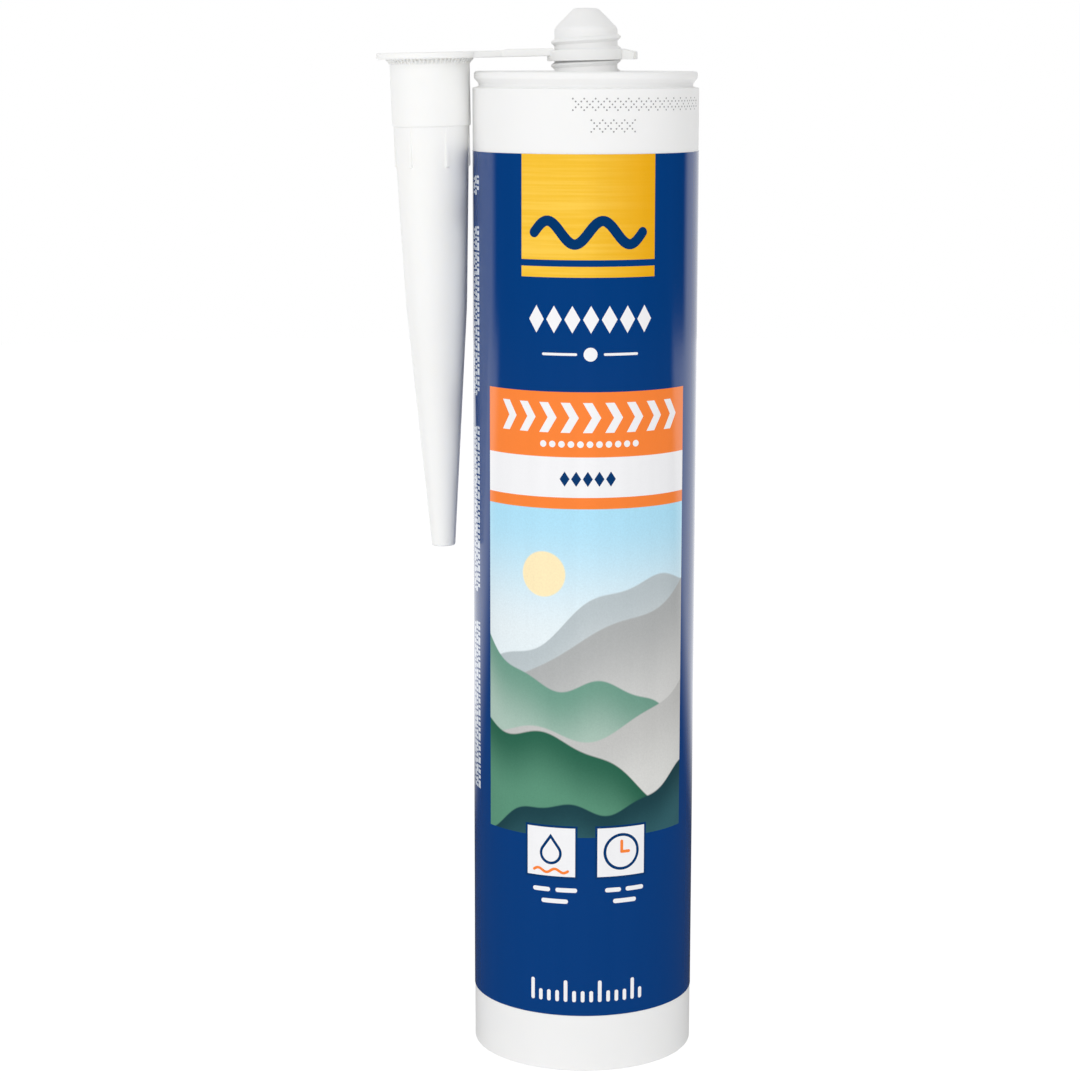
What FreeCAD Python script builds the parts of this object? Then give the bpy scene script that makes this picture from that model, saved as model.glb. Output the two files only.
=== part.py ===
import FreeCAD, Part

import os
import re

import Sketcher
from FreeCAD import Placement, Rotation, Vector

# A sealant cartridge of the common European size, standing on its open end.
# Z runs up the barrel's axis, and the barrel's open end lies on Z = 0.
# The front of the printed label faces -Y, and the nozzle hangs beside the barrel at -X.

# Driving dimensions, in millimetres and degrees
SIZES = {
    # barrel and its open mouth
    "barrel_radius": 24.8,
    "barrel_top": 217.0,
    "barrel_wall": 1.55,
    "edge_break": 0.35,
    "mouth_wall": 1.35,
    "mouth_depth": 8.0,
    "mouth_lead": 0.6,
    # shoulder, groove and rim
    "groove_depth": 1.3,
    "groove_lead": 0.3,
    "groove_height": 0.65,
    "bead_set_in": 0.3,
    "bead_slope": 1.15,
    "bead_height": 1.5,
    "bead_break": 0.7,
    "rim_width": 1.6,
    "rim_slope": 0.5,
    "disc_drop": 0.5,
    "shoulder_wall": 2.1,
    "corner_width": 1.3,
    "corner_height": 1.5,
    # neck, its thread and the sealed dome
    "neck_radius": 6.9,
    "neck_wall": 1.3,
    "neck_height": 9.75,
    "dome_height": 4.3,
    "dome_flat": 2.6,
    "dome_break": 0.4,
    "thread_pitch": 2.5,
    "thread_depth": 0.72,
    "thread_foot": 1.5,
    "thread_crest": 0.35,
    "thread_lean": 0.8,
    "thread_start": 0.4,
    "thread_turns": 3.0,
    "thread_bite": 0.3,
    # label film and its print
    "film_bottom": 13.0,
    "film_height": 190.4,
    "film_gap": 0.02,
    "film_thickness": 0.08,
    "lap_angle": 12.0,
    "ink_gap": 0.01,
    "ink_thickness": 0.03,
    "print_turn": 0.8,
    "panel_angle": 69.7,
    "panel_height": 22.3,
    "bar_gap": 1.4,
    "bar_height": 2.3,
    "band_angle": 115.8,
    "band_bottom": 138.8,
    "band_height": 14.1,
    "white_height": 8.8,
    "stripe_height": 2.5,
    "picture_height": 73.4,
    "tile_angle": 27.8,
    "tile_turn": 18.4,
    "tile_height": 12.1,
    "tile_overlap": 2.6,
    # contents and plunger
    "fill_height": 165.8,
    "contents_gap": 0.1,
    "plunger_height": 14.0,
    "plunger_clearance": 0.09,
    "nose_clearance": 0.3,
    "plunger_relief": 0.45,
    "plunger_wall": 1.3,
    "crown_wall": 1.5,
    "lip_height": 1.6,
    "hub_radius": 7.0,
    "hub_wall": 1.2,
    "hub_depth": 4.0,
    "web_count": 8,
    "web_thickness": 1.0,
    "web_depth": 5.5,
    # nozzle moulding: its eye round the neck, strap, flange, socket and cone
    "eye_height": 224.0,
    "hang_angle": 1.35,
    "hang_gap": 0.6,
    "strap_width": 7.2,
    "strap_thickness": 1.7,
    "strap_reach": 18.2,
    "root_reach": 9.5,
    "root_width": 13.0,
    "flange_radius": 11.65,
    "flange_thickness": 1.45,
    "nozzle_edge_break": 0.4,
    "eye_clearance": 0.15,
    "eye_wall": 0.75,
    "eye_drop": 1.1,
    "eye_rise": 1.25,
    "eye_taper": 0.45,
    "tab_reach": 11.3,
    "tab_angle": 50.0,
    "tab_nose": 0.55,
    "socket_radius": 8.8,
    "socket_foot": 8.62,
    "socket_depth": 14.5,
    "socket_clearance": 0.2,
    "socket_turns": 3.0,
    "socket_lead": 0.8,
    "ledge": 0.34,
    "bend_depth": 54.0,
    "bend_radius": 6.75,
    "nozzle_length": 107.9,
    "nozzle_wall": 1.1,
    "tip_radius": 2.62,
    "tip_wall": 1.25,
    "rib_count": 6,
    "rib_turn": -4.0,
    "rib_width": 0.8,
    "rib_height": 0.06,
    "rib_depth": 24.1,
    "rib_chamfer": 1.0,
}

doc = FreeCAD.newDocument("sealant_cartridge")
sheet = doc.addObject("Spreadsheet::Sheet", "sizes")
for row, (alias, value) in enumerate(SIZES.items(), start=1):
    sheet.set(f"A{row}", alias)
    sheet.set(f"B{row}", str(value))
    sheet.setAlias(f"B{row}", alias)
doc.recompute()


def bound(text):
    """An expression in which each name of a size points at its cell."""
    return re.sub(r"[a-z_]+", lambda m: f"sizes.{m[0]}" if m[0] in SIZES else m[0], text)


def number(text):
    """The present value of an expression of sizes."""
    return float(sheet.evalExpression(text))


def new_body(label):
    body = doc.addObject("PartDesign::Body", f"{label}_body")
    body.Label = label
    return body


def new_sketch(body, name, plane="XZ_Plane", across="0", turn="0"):
    """A sketch on one of the body's own planes, moved across it and turned about its upright axis."""
    sketch = body.newObject("Sketcher::SketchObject", name)
    planes = {feature.Role: feature for feature in body.Origin.OriginFeatures}
    sketch.AttachmentSupport = [(planes[plane], "")]
    sketch.MapMode = "FlatFace"
    upright = Vector(0, 1, 0)
    sketch.AttachmentOffset = Placement(Vector(number(across), 0, 0), Rotation(upright, number(turn)))
    for text, moved in ((across, "Base.x"), (turn, "Rotation.Angle")):
        if text != "0":
            sketch.setExpression(f".AttachmentOffset.{moved}", bound(text))
    return sketch


def outline(sketch, corners):
    """A closed outline of straight edges whose corners are held at expressions of sizes."""
    places = [Vector(number(x), number(y), 0) for x, y in corners]
    for index, place in enumerate(places):
        after = places[(index + 1) % len(places)]
        sketch.addGeometry(Part.LineSegment(place, after), False)
    for index in range(len(places)):
        after = (index + 1) % len(places)
        sketch.addConstraint(Sketcher.Constraint("Coincident", index, 2, after, 1))
    for index, (place, texts) in enumerate(zip(places, corners)):
        for kind, axis, text, value in (
            ("DistanceX", -2, texts[0], place.x),
            ("DistanceY", -1, texts[1], place.y),
        ):
            if text == "0":
                sketch.addConstraint(Sketcher.Constraint("PointOnObject", index, 1, axis))
            else:
                held = sketch.addConstraint(Sketcher.Constraint(kind, -1, 1, index, 1, value))
                sketch.setExpression(f"Constraints[{held}]", bound(text))


def turned(body, name, corners, cut=False, angle="360", **place):
    """A section turned about its sketch's upright axis, added to the body or cut out of it."""
    sketch = new_sketch(body, f"{name}_section", **place)
    outline(sketch, corners)
    kind = "PartDesign::Groove" if cut else "PartDesign::Revolution"
    feature = body.newObject(kind, name)
    feature.Profile = sketch
    feature.ReferenceAxis = (sketch, ["V_Axis"])
    feature.Midplane = True
    feature.setExpression("Angle", bound(angle))
    doc.recompute()
    return feature


def padded(body, name, corners, length, symmetric=False, **place):
    """An outline padded to a length, to one side of its sketch or to both."""
    sketch = new_sketch(body, f"{name}_outline", **place)
    outline(sketch, corners)
    feature = body.newObject("PartDesign::Pad", name)
    feature.Profile = sketch
    feature.Midplane = symmetric
    feature.setExpression("Length", bound(length))
    doc.recompute()
    return feature


def repeated(body, feature, count):
    """Copies of a feature all round its own sketch's upright axis."""
    pattern = body.newObject("PartDesign::PolarPattern", f"{feature.Name}_ring")
    pattern.Originals = [feature]
    pattern.Axis = (feature.Profile[0], ["V_Axis"])
    pattern.Angle = 360
    pattern.setExpression("Occurrences", bound(count))
    body.Tip = pattern
    doc.recompute()
    return pattern


def coiled(body, name, corners, turns, cut=False, **place):
    """A right-hand thread: a section wound up its sketch's upright axis."""
    sketch = new_sketch(body, f"{name}_section", **place)
    outline(sketch, corners)
    kind = "PartDesign::SubtractiveHelix" if cut else "PartDesign::AdditiveHelix"
    feature = body.newObject(kind, name)
    feature.Profile = sketch
    feature.ReferenceAxis = (sketch, ["V_Axis"])
    feature.Mode = "pitch-turns-angle"
    feature.setExpression("Pitch", bound("thread_pitch"))
    feature.setExpression("Turns", bound(turns))
    doc.recompute()
    return feature


def eased(body, base, name, size, edges):
    """A chamfer on the circular edges of the given radius and height, each given as a pair."""
    wanted = [(number(edge_radius), number(height)) for edge_radius, height in edges]
    names = []
    for index, edge in enumerate(base.Shape.Edges, start=1):
        if not isinstance(edge.Curve, Part.Circle):
            continue
        for edge_radius, height in wanted:
            same_radius = abs(edge.Curve.Radius - edge_radius) < 1e-4
            if same_radius and abs(edge.Curve.Center.z - height) < 1e-4:
                names.append(f"Edge{index}")
    feature = body.newObject("PartDesign::Chamfer", name)
    feature.Base = (base, names)
    feature.setExpression("Size", bound(size))
    doc.recompute()
    return feature


# Radii and heights that several features share
BORE = "barrel_radius - barrel_wall"
RIM_TOP = "barrel_top + groove_lead + groove_height + bead_slope + bead_height"
DISC = f"{RIM_TOP} - disc_drop"
SHOULDER = f"{DISC} - shoulder_wall"
CORNER = f"{SHOULDER} - corner_height"
NECK_BORE = "neck_radius - neck_wall"
DOME_BASE = f"{DISC} + neck_height"
DOME_TOP = f"{DOME_BASE} + dome_height"
DOME_SLOPE = "atan(dome_height / (neck_radius - dome_flat))"
DOME_INNER_FLAT = f"dome_flat - neck_wall * tan({DOME_SLOPE} / 2)"
DOME_INNER_BASE = f"{DOME_BASE} - neck_wall * tan(45 deg - {DOME_SLOPE} / 2)"
DOME_INNER_TOP = f"{DOME_TOP} - neck_wall"
CREST = "neck_radius + thread_depth"
PLUNGER_FOOT = f"{SHOULDER} - fill_height - plunger_height"
PANEL_BOTTOM = "film_bottom + film_height - panel_height"
WHITE_BOTTOM = "band_bottom - white_height"
STRIPE_BOTTOM = f"{WHITE_BOTTOM} - stripe_height"
PICTURE_BOTTOM = f"{STRIPE_BOTTOM} - picture_height"
TILE_BOTTOM = f"{PICTURE_BOTTOM} + tile_overlap - tile_height"
STRAP_SPAN = "barrel_radius + hang_gap + socket_radius"


def make_cartridge():
    """Barrel, shoulder, threaded neck and sealed dome, moulded in one piece."""
    body = new_body("cartridge")
    mouth = "barrel_radius - mouth_wall"
    bead = "barrel_radius - bead_set_in"
    groove = "barrel_radius - groove_depth"
    shell = turned(body, "shell", [
        (mouth, "0"),
        ("barrel_radius", "0"),
        ("barrel_radius", "barrel_top"),
        (groove, "barrel_top + groove_lead"),
        (groove, "barrel_top + groove_lead + groove_height"),
        (bead, f"{RIM_TOP} - bead_height"),
        (bead, RIM_TOP),
        (f"{bead} - rim_width", RIM_TOP),
        (f"{bead} - rim_width - rim_slope", DISC),
        ("neck_radius", DISC),
        ("neck_radius", DOME_BASE),
        ("dome_flat", DOME_TOP),
        ("0", DOME_TOP),
        ("0", DOME_INNER_TOP),
        (DOME_INNER_FLAT, DOME_INNER_TOP),
        (NECK_BORE, DOME_INNER_BASE),
        (NECK_BORE, SHOULDER),
        (f"{BORE} - corner_width", SHOULDER),
        (BORE, CORNER),
        (BORE, "mouth_depth + mouth_lead"),
        (mouth, "mouth_depth"),
    ])
    dressed = eased(body, shell, "dome_edges", "dome_break", [
        ("dome_flat", DOME_TOP),
        ("neck_radius", DOME_BASE),
    ])
    dressed = eased(body, dressed, "bead_edge", "bead_break", [(bead, RIM_TOP)])
    eased(body, dressed, "barrel_edges", "edge_break", [
        ("barrel_radius", "0"),
        ("barrel_radius", "barrel_top"),
    ])
    start = f"{DISC} + thread_start"
    coiled(body, "neck_thread", [
        ("neck_radius - thread_bite", f"{start} - thread_lean"),
        ("neck_radius", f"{start} - thread_lean"),
        (CREST, f"{start} - thread_crest / 2"),
        (CREST, f"{start} + thread_crest / 2"),
        ("neck_radius", f"{start} - thread_lean + thread_foot"),
        ("neck_radius - thread_bite", f"{start} - thread_lean + thread_foot"),
    ], "thread_turns")
    return body


def make_label():
    """The film wrapped round the barrel, its two ends lapped at the back."""
    body = new_body("label")
    inner = "barrel_radius + film_gap"
    outer = f"{inner} + film_thickness"
    top = "film_bottom + film_height"
    turned(body, "wrap", [
        (inner, "film_bottom"),
        (outer, "film_bottom"),
        (outer, top),
        (inner, top),
    ])
    turned(body, "lap", [
        (f"{outer} - film_thickness / 2", "film_bottom"),
        (f"{outer} + film_thickness", "film_bottom"),
        (f"{outer} + film_thickness", top),
        (f"{outer} - film_thickness / 2", top),
    ], angle="lap_angle", plane="YZ_Plane")
    return body


def make_print(label, fields, layer=1):
    """Fields of ink on the film, each given by its bottom, height, angle and turn from the front."""
    body = new_body(label)
    film = "barrel_radius + film_gap + film_thickness"
    inner = f"{film} + ink_gap * {layer} + ink_thickness * {layer - 1}"
    for index, (bottom, height, angle, turn) in enumerate(fields, start=1):
        turned(body, f"{label}_field_{index}", [
            (inner, bottom),
            (f"{inner} + ink_thickness", bottom),
            (f"{inner} + ink_thickness", f"{bottom} + {height}"),
            (inner, f"{bottom} + {height}"),
        ], angle=angle, plane="YZ_Plane", turn=f"180 + print_turn + {turn}")
    return body


def make_contents():
    """The sealant, from the plunger's face up into the dome."""
    body = new_body("sealant")
    wall = f"{BORE} - contents_gap"
    face = f"{PLUNGER_FOOT} + plunger_height + contents_gap"
    turned(body, "filling", [
        ("0", face),
        (f"{BORE} - corner_width - nose_clearance", face),
        (wall, f"{face} - corner_height + contents_gap"),
        (wall, f"{CORNER} - contents_gap"),
        (f"{wall} - corner_width", f"{SHOULDER} - contents_gap"),
        (f"{NECK_BORE} - contents_gap", f"{SHOULDER} - contents_gap"),
        (f"{NECK_BORE} - contents_gap", f"{DOME_INNER_BASE} - contents_gap"),
        (f"{DOME_INNER_FLAT} - contents_gap", f"{DOME_INNER_TOP} - contents_gap"),
        ("0", f"{DOME_INNER_TOP} - contents_gap"),
    ])
    return body


def make_plunger():
    """The sliding piston: a cup with two sealing lips, a hub and webs behind its crown."""
    body = new_body("plunger")
    lip = f"{BORE} - plunger_clearance"
    skirt = f"{lip} - plunger_relief"
    hollow = f"{skirt} - plunger_wall"
    nose = f"{BORE} - corner_width - nose_clearance"
    cone_foot = "plunger_height - corner_height"
    under_crown = "plunger_height - crown_wall"
    turned(body, "cup", [
        (hollow, "0"),
        (lip, "0"),
        (lip, "lip_height"),
        (skirt, "lip_height + plunger_relief"),
        (skirt, f"{cone_foot} - lip_height - plunger_relief"),
        (lip, f"{cone_foot} - lip_height"),
        (lip, cone_foot),
        (nose, "plunger_height"),
        ("0", "plunger_height"),
        ("0", under_crown),
        (f"{nose} - crown_wall / 2", under_crown),
        (hollow, f"{cone_foot} - crown_wall / 2"),
    ])
    turned(body, "hub", [
        ("hub_radius - hub_wall", f"{under_crown} - hub_depth"),
        ("hub_radius", f"{under_crown} - hub_depth"),
        ("hub_radius", f"{under_crown} + crown_wall / 2"),
        ("hub_radius - hub_wall", f"{under_crown} + crown_wall / 2"),
    ])
    web = padded(body, "web", [
        ("hub_radius - hub_wall / 2", f"{under_crown} - hub_depth"),
        (f"{hollow} + plunger_wall / 2", f"{under_crown} - web_depth"),
        (f"{hollow} + plunger_wall / 2", f"{cone_foot} - crown_wall / 2"),
        (f"{nose} - crown_wall / 2", f"{under_crown} + crown_wall / 4"),
        ("hub_radius - hub_wall / 2", f"{under_crown} + crown_wall / 4"),
    ], "web_thickness", symmetric=True)
    repeated(body, web, "web_count")
    body.setExpression(".Placement.Base.z", bound(PLUNGER_FOOT))
    return body


def make_nozzle():
    """Eye, strap, flange, threaded socket and cone, moulded in one piece and hung by the eye."""
    body = new_body("nozzle")
    axis = {"across": f"-({STRAP_SPAN})"}
    minor = "neck_radius + socket_clearance"
    major = f"{CREST} + socket_clearance"
    passage = "bend_radius - nozzle_wall"
    moulded = turned(body, "socket_and_cone", [
        ("flange_radius", "0"),
        ("flange_radius", "flange_thickness"),
        (f"{minor} + socket_lead", "flange_thickness"),
        (minor, "flange_thickness - socket_lead"),
        (minor, "-socket_depth"),
        (passage, "-socket_depth"),
        (passage, "-bend_depth"),
        ("tip_radius - tip_wall", "-nozzle_length"),
        ("tip_radius", "-nozzle_length"),
        ("bend_radius", "-bend_depth"),
        ("socket_foot - ledge", "-socket_depth"),
        ("socket_foot", "-socket_depth"),
        ("socket_radius", "0"),
    ], **axis)
    eased(body, moulded, "flange_and_tip_edges", "nozzle_edge_break", [
        ("flange_radius", "0"),
        ("flange_radius", "flange_thickness"),
        ("tip_radius", "-nozzle_length"),
    ])

    half_strap = "strap_width / 2"
    half_root = "root_width / 2"
    padded(body, "strap_root", [
        (f"root_reach - ({STRAP_SPAN})", f"-{half_root}"),
        ("-strap_reach", f"-{half_strap}"),
        ("-strap_reach", half_strap),
        (f"root_reach - ({STRAP_SPAN})", half_root),
    ], "flange_thickness", plane="XY_Plane")
    padded(body, "strap", [
        ("-strap_reach", f"-{half_strap}"),
        (f"-({minor})", f"-{half_strap}"),
        (f"-({minor})", half_strap),
        ("-strap_reach", half_strap),
    ], "strap_thickness", plane="XY_Plane")

    eye = f"{CREST} + eye_clearance"
    turned(body, "tab", [
        (minor, "-eye_drop"),
        ("tab_reach", "-eye_drop"),
        ("tab_reach", "tab_nose"),
        (f"{eye} + eye_wall", "eye_rise"),
        (minor, "eye_rise"),
    ], angle="tab_angle")
    turned(body, "eye_collar", [
        ("0", "-eye_drop"),
        (f"{eye} + eye_wall", "-eye_drop"),
        (f"{eye} + eye_wall", "eye_rise - eye_taper"),
        (f"{eye} + eye_wall - eye_taper", "eye_rise"),
        ("0", "eye_rise"),
    ])
    turned(body, "eye_bore", [
        ("0", "-eye_drop - eye_wall"),
        (eye, "-eye_drop - eye_wall"),
        (eye, "strap_thickness + eye_wall"),
        ("0", "strap_thickness + eye_wall"),
    ], cut=True)

    rib = padded(body, "rib", [
        ("bend_radius", "-socket_depth"),
        ("socket_foot - ledge + rib_height", "-socket_depth"),
        ("socket_foot - ledge + rib_height", "rib_chamfer - rib_depth"),
        ("socket_foot - ledge + rib_height - rib_chamfer", "-rib_depth"),
        ("bend_radius", "-rib_depth"),
    ], "rib_width", symmetric=True, turn="rib_turn", **axis)
    repeated(body, rib, "rib_count")
    start = "flange_thickness - socket_turns * thread_pitch"
    coiled(body, "socket_thread", [
        (f"{minor} - thread_bite", f"{start} - thread_lean"),
        (minor, f"{start} - thread_lean"),
        (major, f"{start} - thread_crest / 2"),
        (major, f"{start} + thread_crest / 2"),
        (minor, f"{start} - thread_lean + thread_foot"),
        (f"{minor} - thread_bite", f"{start} - thread_lean + thread_foot"),
    ], "socket_turns", cut=True, **axis)

    body.Placement = Placement(Vector(0, 0, number("eye_height")), Rotation(Vector(0, -1, 0), 1))
    body.setExpression(".Placement.Base.z", bound("eye_height"))
    body.setExpression(".Placement.Rotation.Angle", bound("hang_angle"))
    return body


pieces = [
    make_cartridge(),
    make_label(),
    make_print("yellow_print", [
        (PANEL_BOTTOM, "panel_height", "panel_angle", "0"),
        (f"{PANEL_BOTTOM} - bar_gap - bar_height", "bar_height", "panel_angle", "0"),
    ]),
    make_print("orange_print", [
        ("band_bottom", "band_height", "band_angle", "0"),
        (STRIPE_BOTTOM, "stripe_height", "band_angle", "0"),
    ]),
    make_print("white_print", [(WHITE_BOTTOM, "white_height", "band_angle", "0")]),
    make_print("picture_print", [(PICTURE_BOTTOM, "picture_height", "band_angle", "0")]),
    make_print("tile_print", [
        (TILE_BOTTOM, "tile_height", "tile_angle", "-tile_turn"),
        (TILE_BOTTOM, "tile_height", "tile_angle", "tile_turn"),
    ], layer=2),
    make_contents(),
    make_plunger(),
    make_nozzle(),
]
doc.recompute()

for item in doc.Objects:
    if "Invalid" in item.State or "Error" in item.State:
        raise RuntimeError(f"{item.Label} has failed: {item.State}")
os.makedirs("parts", exist_ok=True)
for piece in pieces:
    shape = piece.Shape
    if shape.isNull() or not shape.isValid() or not shape.Solids:
        raise RuntimeError(f"{piece.Label} has no valid solid")
    shape.exportStep(f"parts/{piece.Label}.step")
    print(piece.Label, len(shape.Solids), "solids,", round(shape.Volume / 1000, 3), "ml")
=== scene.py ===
import math

import bpy
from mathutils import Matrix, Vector


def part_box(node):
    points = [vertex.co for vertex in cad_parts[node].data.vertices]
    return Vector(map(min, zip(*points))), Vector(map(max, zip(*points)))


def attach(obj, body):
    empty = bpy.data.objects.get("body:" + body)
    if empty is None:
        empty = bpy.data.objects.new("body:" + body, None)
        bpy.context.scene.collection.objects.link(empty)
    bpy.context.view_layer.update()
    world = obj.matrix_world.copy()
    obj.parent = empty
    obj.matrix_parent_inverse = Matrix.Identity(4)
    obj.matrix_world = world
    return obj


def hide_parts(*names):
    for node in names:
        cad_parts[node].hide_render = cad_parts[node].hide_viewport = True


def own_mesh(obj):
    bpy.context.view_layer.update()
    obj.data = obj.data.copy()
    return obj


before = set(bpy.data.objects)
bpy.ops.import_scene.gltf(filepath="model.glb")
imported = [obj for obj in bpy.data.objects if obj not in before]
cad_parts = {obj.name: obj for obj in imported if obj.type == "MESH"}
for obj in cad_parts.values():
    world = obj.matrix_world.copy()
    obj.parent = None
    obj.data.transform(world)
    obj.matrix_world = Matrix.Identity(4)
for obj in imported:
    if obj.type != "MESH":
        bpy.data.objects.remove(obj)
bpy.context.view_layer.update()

# Lengths are in millimetres unless a comment says otherwise, and MM turns them into metres.
MM = 0.001

# Barrel, shoulder and rim
BARREL_RADIUS = 24.8
BARREL_TOP = 217.0
MOUTH_RADIUS = 23.45
MOUTH_DEPTH = 8.0
BORE_RADIUS = 23.25
GROOVE_RADIUS = 23.5
GROOVE_BOTTOM = 217.3
GROOVE_TOP = 217.95
BEAD_RADIUS = 24.5
BEAD_BOTTOM = 219.1
RIM_TOP = 220.6
RIM_INSIDE = 22.9
DISC_RADIUS = 22.4
DISC_TOP = 220.1
SHOULDER_UNDERSIDE = 218.0
CORNER_DEPTH = 1.5
CORNER_WIDTH = 1.3
MOUTH_LEAD = 0.6
LATHE_STEPS = 160
ROUNDING_STEPS = 5
SAME_PLACE = 0.01
MERGE_REACH = 0.002

# Neck and thread
NECK_RADIUS = 6.9
NECK_BORE = 5.6
DOME_BASE = 229.85
DOME_TOP = 234.15
DOME_FLAT = 2.6
THREAD_PITCH = 2.5
THREAD_DEPTH = 0.72
THREAD_LEAN = 0.8
THREAD_FOOT = 1.5
THREAD_CREST = 0.35
THREAD_START = 220.5
THREAD_TURNS = 3
THREAD_BITE = 0.3
COIL_STEPS = 48
THREAD_FADE = 4
THREAD_SHRINK = 0.72

# Film and print, measured in degrees from the front and in millimetres up the barrel
FILM_RADIUS = 24.9
FILM_THICKNESS = 0.05
FILM_STEPS = 180
LAP_ANGLE = 12.0
LAP_RAMP = 2.0
LAP_MARGIN = 1.1
INK_STEP = 0.006
INK_GRID = 0.6
PRINT_TURN = 0.8
BAND_ANGLE = 115.8
PANEL_ANGLE = 69.7
TILE_ANGLE = 27.8
TILE_TURN = 18.4
TILE_FRAME = 0.5

# Marks on the print, with their ends in degrees and their heights in millimetres
FIELD_WAVE = dict(height=186.9, half_width=12.0, swing=2.5, waist=1.1)
WIDE_DIAMONDS = dict(start=-31, end=33.6, bottom=165.5, top=171.4, count=7)
SMALL_DIAMONDS = dict(start=-14.5, end=14.5, bottom=132.4, top=135.7, count=5)
ARROWHEADS = dict(start=-48, end=52, bottom=144.1, top=150.6, count=9)
SMALL_DOTS = dict(start=-25, end=27, height=141.6, radius=0.72, count=11)
MIDDLE_DOT = dict(start=-1.4, end=3.6, height=161.0, radius=1.5, count=1)
MIDDLE_RULES = ((-23.3, -5.5), (7.7, 25.5))
RULE_HEIGHTS = (160.72, 161.28)
DROP_SIZE = 2.55
DROP_DIP = 0.35
DROP_STROKE = 0.62
RIPPLE = dict(half_width=3.9, swing=0.42, waist=0.3)
RIPPLE_RISE = 1.75
CLOCK_RADIUS = 4.2
CLOCK_HOLE = 3.55
HAND_WAIST = 0.34
LONG_HAND = 2.7
SHORT_HAND = 2.0
TILE_BAR_ENDS = ((-28, -4.6), (9.7, 30.8))
UPPER_BARS = (41.5, 42.5)
LOWER_BAR = (38.9, 39.9)
GAUGE_COUNT = 14
GAUGE_START = -28
GAUGE_STEP = 4.4
GAUGE_BOTTOM = 16.2
GAUGE_WAIST = 0.42
GAUGE_TALL = 5.0
GAUGE_SHORT = 2.6
DASH_COLUMNS = 3
DASH_START = -79.0
DASH_STEP = 3.7
DASH_WAIST = 0.66
DASH_BOTTOM = 61.0
DASH_TOP = 198
DASH_LENGTHS = (0.9, 0.5, 1.4, 0.6, 1.1, 0.4, 1.7, 0.8)
DASH_GAP = 0.45
DASH_BLOCK = 44
DASH_FILLED = 38
NET = dict(rows=5, pitch=0.6, size=0.19)
LONG_NET = dict(start=-8, top=215.0, columns=60)
SHORT_NET = dict(start=1, top=210.5, columns=17)

# Nozzle, in its own frame: its eye is at the origin and its axis at -STRAP_SPAN
EYE_HEIGHT = 224.0
HANG_ANGLE = 1.35
STRAP_SPAN = 34.2
FLANGE_RADIUS = 11.65
FLANGE_THICKNESS = 1.45
SOCKET_BORE = 7.1
SOCKET_RADIUS = 8.8
SOCKET_FOOT = 8.62
SOCKET_DEPTH = 14.5
LEDGE = 0.34
SEAT_RADIUS = 5.65
BEND_DEPTH = 54.0
BEND_RADIUS = 6.75
NOZZLE_LENGTH = 107.9
TIP_RADIUS = 2.62
TIP_BORE = 1.37
GROOVE_FOOT = 6.8
GROOVE_RUNOUT = 0.7
LAND_START = -5.4
LAND_FOOT = 2.16
LAND_CREST = 1.0
LAND_TURNS = 2
OVERLAP = 0.2
STRAP_WIDTH = 7.2
STRAP_THICKNESS = 1.7
STRAP_REACH = 18.2
STRAP_RAMP = 0.8
STRAP_ROUNDING = 0.3
ROOT_REACH = 9.5
ROOT_WIDTH = 13.0
EYE_BORE = 7.77
EYE_WALL = 0.75
EYE_DROP = 1.1
EYE_RISE = 1.25
EYE_BITE = 0.5
TAB_REACH = 11.3
TAB_ANGLE = 50.0
TAB_NOSE = 0.55
RIB_COUNT = 6
RIB_TURN = -4.0
RIB_WIDTH = 0.8
RIB_REACH = 8.34
RIB_DEPTH = 24.1
RIB_CHAMFER = 1.0
RIB_ROUNDING = 0.08
GUSSET_COUNT = 64
GUSSET_WIDTH = 0.38
GUSSET_REACH = 0.85
GUSSET_HEIGHT = 1.1
GUSSET_LIP = 0.1
GUSSET_BITE = 0.3

# Contents
PASTE_GAP = 0.12
CROWN_HEIGHT = 1.4
PASTE_SKIN = 0.02
DOME_CORNER = 0.75
DOME_ROOM = 2.0

# Studio, in metres and watts
CAMERA_PLACE = (-0.010036, -0.607119, 0.223551)
CAMERA_TILT = 10.0092
CAMERA_ROLL = -0.0548
CAMERA_LENS = 91.17
LAMP_AIM = (0, 0, 0.12)
LAMP_SIZE = 0.8
SOFT_LIGHT = 0.65
ROOM_SHADE = 0.02
ROOM_LEAN = -0.13
ROOM_EDGE = (0.36, 0.5)
FLOOR_RADIUS = 1.6
FLOOR_COLOUR = (0.93, 0.93, 0.93, 1)
FLOOR_GLOW = 1.3
FLOOR_EDGE = (0.15, 0.35)


# Modelling by hand

def calm():
    """Back to object mode with nothing selected."""
    if bpy.context.mode != "OBJECT":
        bpy.ops.object.mode_set(mode="OBJECT")
    bpy.ops.object.select_all(action="DESELECT")


def use(piece):
    """Makes the piece the only selected one and the active one."""
    calm()
    piece.select_set(True)
    bpy.context.view_layer.objects.active = piece


def apply_all(piece):
    """Applies the piece's modifiers in their order."""
    use(piece)
    for modifier in list(piece.modifiers):
        bpy.ops.object.modifier_apply(modifier=modifier.name)


def settle(piece):
    """Puts the object's place and turn into its mesh."""
    use(piece)
    bpy.ops.object.transform_apply(location=True, rotation=True, scale=True)


def smooth(piece, angle=32):
    """Smooth shading with flat faces kept flat, broken at edges sharper than the angle."""
    use(piece)
    bpy.ops.object.shade_smooth_by_angle(angle=math.radians(angle))
    weigh = piece.modifiers.new("flat_faces", "WEIGHTED_NORMAL")
    weigh.keep_sharp = True
    weigh.weight = 100
    apply_all(piece)


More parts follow.
